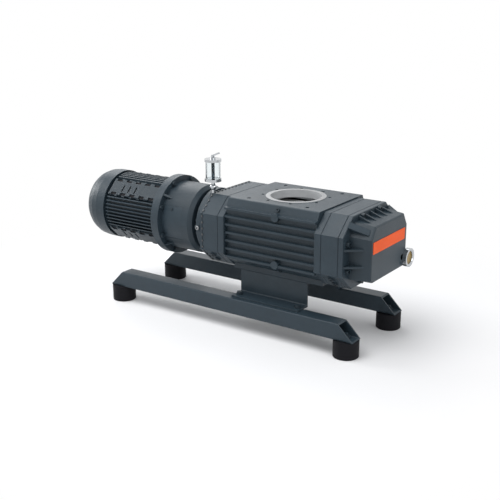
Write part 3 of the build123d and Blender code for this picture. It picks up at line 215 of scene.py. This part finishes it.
# casing: paint, with the machined inlet ring and the bare metal of the port under it
RING_RADIUS = 0.0901
PORT_RADIUS = 0.0812
BORE_RADIUS = 0.0767
PORT_FOOT_Z = 0.22
RING_MARGIN = 0.0002
TURNED_ROUGHNESS = 0.3
BORE_DULLNESS = 0.8
casing_look = paint("casing_paint", SLATE, **CAST_GRAIN)
g = casing_look
point = g.position()
radius = g.distance(g.math("SUBTRACT", point["X"], inlet_x), point["Y"])
near = g.math("LESS_THAN", radius, RING_RADIUS)
high = g.math("GREATER_THAN", point["Z"], inlet_pad_z + RING_MARGIN)
above_foot = g.math("GREATER_THAN", point["Z"], PORT_FOOT_Z)
in_port = g.math("MULTIPLY", g.math("LESS_THAN", radius, PORT_RADIUS), above_foot)
bright = g.math("MAXIMUM", g.math("MULTIPLY", near, high), in_port)
bore = g.math("MULTIPLY", in_port, g.math("LESS_THAN", radius, BORE_RADIUS))
rings = g.node("ShaderNodeTexNoise", noise_dimensions="1D")
rings.inputs["Scale"].default_value = 900.0
g.link(radius, rings.inputs["W"])
ring_colour = g.mix(rings.outputs["Fac"], (0.27, 0.28, 0.29), (0.36, 0.37, 0.38))
metal_colour = g.mix(bore, ring_colour, (0.5, 0.51, 0.52))
painted = g.shader.inputs["Base Color"].links[0].from_socket
g.link(g.mix(bright, painted, metal_colour), g.shader.inputs["Base Color"])
shine = g.math("SUBTRACT", 1.0, g.math("MULTIPLY", bore, BORE_DULLNESS))
g.link(g.math("MULTIPLY", bright, shine), g.shader.inputs["Metallic"])
painted_rough = g.shader.inputs["Roughness"].links[0].from_socket
paint_share = g.math("MULTIPLY", painted_rough, g.math("SUBTRACT", 1.0, bright))
metal_share = g.math("MULTIPLY", bright, TURNED_ROUGHNESS)
g.link(g.math("ADD", paint_share, metal_share), g.shader.inputs["Roughness"])

# glass: clear for the oiler, with a dark rim painted into its colour as a reflection of dark surroundings;
# oily gold behind the sight glass
clear = Graph("clear_glass")
clear.set(Roughness=0.03, Transmission_Weight=1.0, IOR=1.2)
facing = clear.node("ShaderNodeLayerWeight")
facing.inputs["Blend"].default_value = 0.5
# painted reflection: the glass colour turns dark towards its grazing edges
painted_dark_rim = clear.ramp(facing.outputs["Facing"], 0.0, 1.0, 0.4, 0.8)
clear.link(clear.mix(painted_dark_rim, (0.92, 0.95, 0.96), (0.03, 0.045, 0.055)), clear.shader.inputs["Base Color"])
clear.link(clear.bump(clear.noise(60.0, 1.0), 0.0001), clear.shader.inputs["Normal"])
oil = Graph("oil_glass")
oil_colour = oil.mix(oil.noise(90.0, 3.0), (0.12, 0.075, 0.008), (0.42, 0.26, 0.03))
oil.link(oil_colour, oil.shader.inputs["Base Color"])
oil.set(Roughness=0.15, Coat_Weight=0.25, Specular_IOR_Level=0.3)

SLOT_MATERIALS = {
    "painted_casting": casting, "painted_frame": frame_paint, "dark_screws": dark_paint,
    "orange_plate": orange, "machined_steel": steel, "zinc_screws": zinc,
    "chrome_fittings": chrome, "cast_rotor": iron_with_painted_light,
    "black_rubber": black, "seal_rubber": seal, "spider_rubber": red_rubber, "black_plastic": plastic,
    "copper_windings": copper, "clear_glass": clear, "oil_glass": oil,
}
NODE_MATERIALS = {"casing": casing_look, "bracket_screws": dark_paint, "foot_studs": dark_paint}
for part in frame["record"]["subparts"]:
    node = NODES[part["node"]]
    look = NODE_MATERIALS.get(part["node"], SLOT_MATERIALS[part["material_slot"]])
    for slot in node.material_slots:
        slot.material = look.material


# ---------------------------------------------------------------- added pieces
def piece(name, bm, look, bevel=0.0):
    """Finish a mesh as a piece of the stand: bevelled edges, material, body and slot."""
    bmesh.ops.recalc_face_normals(bm, faces=bm.faces)
    made_mesh = bpy.data.meshes.new(name)
    bm.to_mesh(made_mesh)
    bm.free()
    made = bpy.data.objects.new(name, made_mesh)
    scene.collection.objects.link(made)
    made_mesh.materials.append(look.material)
    if bevel:
        edges = made.modifiers.new("bevel", "BEVEL")
        edges.width = bevel
        edges.segments = 2
        edges.limit_method = "ANGLE"
    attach(made, "stand")


def relief(bm, to_world, cuts_u, cuts_v, kept, low, high):
    """Closed plate of the kept cells of a grid, from height low to height high."""
    corners = {}

    def corner(i, j, height):
        key = (i, j, height)
        if key not in corners:
            corners[key] = bm.verts.new(to_world(cuts_u[i], cuts_v[j], height))
        return corners[key]

    cells = {(i, j) for i in range(len(cuts_u) - 1) for j in range(len(cuts_v) - 1)
             if kept((cuts_u[i] + cuts_u[i + 1]) / 2, (cuts_v[j] + cuts_v[j + 1]) / 2)}
    for i, j in cells:
        for height in (low, high):
            bm.faces.new([corner(i, j, height), corner(i + 1, j, height),
                          corner(i + 1, j + 1, height), corner(i, j + 1, height)])
        for step, a, b in (((-1, 0), (i, j), (i, j + 1)), ((1, 0), (i + 1, j), (i + 1, j + 1)),
                           ((0, -1), (i, j), (i + 1, j)), ((0, 1), (i, j + 1), (i + 1, j + 1))):
            if (i + step[0], j + step[1]) not in cells:
                bm.faces.new([corner(*a, low), corner(*b, low), corner(*b, high), corner(*a, high)])


def ring_direction(degrees):
    """Unit vector across the shafts, 0 along +Y and 90 upwards."""
    return Vector((0, math.cos(math.radians(degrees)), math.sin(math.radians(degrees))))


# motor: raised pads with castellated edges and three short slots, over a black sheet that is painted shade
# in the notches and slots
PAD_RADIUS = 0.106  # the CAD's flat pads, from the motor's axis
PAD_HALF = 0.029
PAD_RISE = 0.0035
SLOT_HALF = 0.0026
SLOT_FROM, SLOT_TO = -0.016, 0.008
NOTCH_HALF = 0.011
NOTCH_EDGE = 0.0205
SHADE_SHEET_INSET = 0.001
motor_low, motor_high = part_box("motor_frame")
pad_u0 = motor_low.x + 0.013
pad_u1 = motor_high.x - 0.004
slots = [motor_low.x + 0.062 + 0.026 * k for k in range(3)]
notches = [pad_u0 + (pad_u1 - pad_u0) * (k + 0.5) / 5 for k in range(5)]


def is_pad(u, v):
    in_slot = any(abs(u - at) < SLOT_HALF for at in slots) and SLOT_FROM < v < SLOT_TO
    in_notch = any(abs(u - at) < NOTCH_HALF for at in notches) and abs(v) > NOTCH_EDGE
    return not (in_slot or in_notch)


slot_cuts = [at + d for at in slots for d in (-SLOT_HALF, SLOT_HALF)]
notch_cuts = [at + d for at in notches for d in (-NOTCH_HALF, NOTCH_HALF)]
pad_us = sorted({pad_u0, pad_u1, *slot_cuts, *notch_cuts})
pad_vs = [-PAD_HALF, -NOTCH_EDGE, SLOT_FROM, SLOT_TO, NOTCH_EDGE, PAD_HALF]
shade_sheet_us = [pad_u0 + SHADE_SHEET_INSET, pad_u1 - SHADE_SHEET_INSET]
shade_sheet_vs = [-PAD_HALF + SHADE_SHEET_INSET, PAD_HALF - SHADE_SHEET_INSET]
pads = bmesh.new()
painted_shade_sheets = bmesh.new()
for angle in (45, 135, 225, 315):
    out = ring_direction(angle)
    across = Vector((0, -out.z, out.y)) * (1 if out.y * out.z > 0 else -1)
    origin = Vector((0, DRIVE_Y, AXIS_Z)) + out * PAD_RADIUS

    def on_pad(u, v, height, origin=origin, across=across, out=out):
        return origin + Vector((u, 0, 0)) + across * v + out * height

    relief(pads, on_pad, pad_us, pad_vs, is_pad, 0.0002, PAD_RISE)
    # black sheet just under each pad: painted shade at the bottom of its notches and slots
    relief(painted_shade_sheets, on_pad, shade_sheet_us, shade_sheet_vs, lambda u, v: True, -0.001, 0.0005)
piece("motor_pads", pads, casting, bevel=0.0008)
piece("motor_pad_painted_shade", painted_shade_sheets, black, bevel=0.0002)


def outline(points):
    """Convex outline of mesh points seen along the shafts, as (y, z) in order."""
    flat = [Vector((co.y, co.z)) for co in points]
    return [flat[k] for k in convex_hull_2d(flat)]


def join_rows(bm, a, b):
    """Faces between two closed rows of vertices."""
    for k in range(len(a)):
        n = (k + 1) % len(a)
        bm.faces.new([a[k], a[n], b[n], b[k]])


# gaskets: a dark line where two castings meet
def gasket(bm, node, x, proud=0.0004, half=0.0011, depth=0.004):
    """Band round the outline that a node has at x."""
    hull = outline(v.co for v in NODES[node].data.vertices if abs(v.co.x - x) < 0.0004)
    middle = sum(hull, Vector((0, 0))) / len(hull)
    rows = []
    for x_at, offset in ((x - half, proud), (x + half, proud), (x + half, -depth), (x - half, -depth)):
        rows.append([])
        for point in hull:
            moved = point + (point - middle).normalized() * offset
            rows[-1].append(bm.verts.new((x_at, moved.x, moved.y)))
    for a, b in zip(rows, rows[1:] + rows[:1]):
        join_rows(bm, a, b)


gaskets = bmesh.new()
drive_plate_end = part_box("drive_end_plate")[1].x
gear_plate_low, gear_plate_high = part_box("gear_end_plate")
gasket(gaskets, "drive_end_plate", drive_plate_end)
gasket(gaskets, "gear_end_plate", gear_plate_low.x)
gasket(gaskets, "gear_end_plate", gear_plate_high.x)
piece("casing_gaskets", gaskets, black)


# small fasteners between the bell and the pump
HEAD_ROOT = -0.003  # how deep a head starts inside what it stands on


def screw_head(bm, foot, axis, radius, height, sides=6, socket=0.0):
    """Head of a screw standing on foot along axis, with a socket sunk in it if wanted."""
    axis = Vector(axis).normalized()
    side = axis.cross(Vector((1, 0, 0)) if abs(axis.x) < 0.9 else Vector((0, 1, 0))).normalized()
    other = axis.cross(side)
    steps = [(radius, HEAD_ROOT), (radius, height * 0.8), (radius * 0.85, height)]
    if socket:
        steps += [(socket, height), (socket, height * 0.3)]
    turns = [2 * math.pi * k / sides for k in range(sides)]
    spokes = [side * math.cos(a) + other * math.sin(a) for a in turns]
    rows = []
    for reach, lift in steps:
        centre = Vector(foot) + axis * lift
        rows.append([bm.verts.new(centre + spoke * reach) for spoke in spokes])
    for a, b in zip(rows, rows[1:]):
        join_rows(bm, a, b)
    bm.faces.new(rows[0])
    bm.faces.new(rows[-1])


EDGE_SCREW_PITCH = 0.017
cover_low, cover_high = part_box("seal_cover")
cover_x = (cover_low.x + cover_high.x) / 2
edge_screws = bmesh.new()
hull = outline(v.co for v in NODES["seal_cover"].data.vertices)
for a, b in zip(hull, hull[1:] + hull[:1]):
    run = b - a
    normal = Vector((run.y, -run.x)).normalized()
    if normal.dot((a + b) / 2 - Vector((0, AXIS_Z))) < 0:
        normal = -normal
    count = int(run.length / EDGE_SCREW_PITCH)
    for k in range(count):
        spot = a + run * (k + 0.5) / count
        screw_head(edge_screws, (cover_x, spot.x, spot.y), (0, normal.x, normal.y), 0.0034, 0.0028)
piece("seal_cover_edge_screws", edge_screws, dull, bevel=0.0003)

# one socket plug on each side of the bell's flange at the pump
FLANGE_MIDDLE = 0.007
bell_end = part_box("bell_housing")[1].x
flange_front_y = min(v.co.y for v in NODES["bell_housing"].data.vertices if v.co.x > bell_end - 0.004)
flange_reach = DRIVE_Y - flange_front_y
plugs = bmesh.new()
for turn in (180, 0):
    toward = ring_direction(turn)
    foot = Vector((bell_end - FLANGE_MIDDLE, DRIVE_Y, AXIS_Z)) + toward * flange_reach
    screw_head(plugs, foot, toward, 0.0065, 0.005, sides=20, socket=0.0038)
piece("bell_flange_plugs", plugs, zinc, bevel=0.0003)

# ---------------------------------------------------------------- stage, lights, camera
WHITE = (1, 1, 1, 1)
FLOOR_SIZE = 14.0
FLOOR_DROP = 0.0005
FADE_FROM, FADE_TO = 0.62, 1.2  # from the object's middle to where the floor is plain white
mesh = bpy.data.meshes.new("floor")
corners = [(-1, -1), (1, -1), (1, 1), (-1, 1)]
mesh.from_pydata([(x * FLOOR_SIZE, y * FLOOR_SIZE, 0) for x, y in corners], [], [(0, 1, 2, 3)])
floor = bpy.data.objects.new("floor", mesh)
floor.location.z = -FLOOR_DROP
scene.collection.objects.link(floor)


def all_looks(g):
    """1 for camera, transmission and glossy rays: what is looked at, straight or in metal and glass."""
    path = g.node("ShaderNodeLightPath").outputs
    looked_at = g.math("MAXIMUM", path["Is Camera Ray"], path["Is Transmission Ray"])
    return g.math("MAXIMUM", looked_at, path["Is Glossy Ray"])


def mix_shaders(g, factor, a, b):
    made = g.node("ShaderNodeMixShader")
    for socket, source in zip(made.inputs, (factor, a, b)):
        g.link(source, socket)
    return made.outputs[0]


def glow(g, kind, colour, strength):
    made = g.node(kind)
    made.inputs["Color"].default_value = colour
    made.inputs["Strength"].default_value = strength
    return made.outputs[0]


# floor: a diffuse white that keeps the shadow, fading to plain white around the object
g = Graph("floor_white")
g.tree.nodes.remove(g.shader)
diffuse = g.node("ShaderNodeBsdfDiffuse")
diffuse.inputs["Color"].default_value = (0.8, 0.8, 0.81, 1)
lifted = g.node("ShaderNodeAddShader")
g.link(diffuse.outputs[0], lifted.inputs[0])
g.link(glow(g, "ShaderNodeEmission", WHITE, FLOOR_LIFT), lifted.inputs[1])
point = g.position()
fade = g.node("ShaderNodeMapRange", interpolation_type="SMOOTHSTEP")
fade.inputs["From Min"].default_value = FADE_FROM
fade.inputs["From Max"].default_value = FADE_TO
g.link(g.distance(point["X"], point["Y"]), fade.inputs["Value"])
far_white = glow(g, "ShaderNodeEmission", WHITE, 1.0)
seen = mix_shaders(g, fade.outputs["Result"], lifted.outputs[0], far_white)
g.link(mix_shaders(g, all_looks(g), diffuse.outputs[0], seen), g.output.inputs["Surface"])
floor.data.materials.append(g.material)

# world: white where it is looked at, a plain soft light otherwise
world = bpy.data.worlds.new("studio")
scene.world = world
world.use_nodes = True
g = Nodes(world.node_tree)
world_output = g.node("ShaderNodeOutputWorld")
soft_light = glow(g, "ShaderNodeBackground", (0.96, 0.98, 1.0, 1), WORLD_LIGHT)
plain_white = glow(g, "ShaderNodeBackground", WHITE, 1.0)
g.link(mix_shaders(g, all_looks(g), soft_light, plain_white), world_output.inputs["Surface"])


def lamp(name, place, target, width, power):
    data = bpy.data.lights.new(name, "AREA")
    data.shape = "SQUARE"
    data.size = width
    data.energy = power
    made = bpy.data.objects.new(name, data)
    made.location = place
    made.rotation_euler = (Vector(target) - Vector(place)).to_track_quat("-Z", "Y").to_euler()
    scene.collection.objects.link(made)


aim = (0, 0, 0.25)
lamp("key", (-0.6, -1.4, 3.6), aim, 2.6, 95)
lamp("side", (3.2, -1.0, 1.8), aim, 2.0, 30)
lamp("back", (-2.2, 1.8, 2.6), aim, 2.2, 40)
lamp("left", (-3.0, -0.5, 1.3), (-0.5, 0, 0.3), 1.2, 42)

camera_data = bpy.data.cameras.new("camera")
camera_data.lens = 63.6
camera_data.sensor_width = 36.0
camera = bpy.data.objects.new("camera", camera_data)
scene.collection.objects.link(camera)
scene.camera = camera
camera.location = (inlet_x + 1.344, -2.168, 1.0165)
look = Vector((-0.5466, 0.7843, -0.2935)).normalized()
roll = math.radians(-0.13)
right = look.cross(Vector((0, 0, 1))).normalized()
up = right.cross(look)
right, up = (
    right * math.cos(roll) + up * math.sin(roll),
    up * math.cos(roll) - right * math.sin(roll),
)
camera.rotation_euler = Matrix((right, up, -look)).transposed().to_euler()

scene.view_settings.view_transform = "Standard"
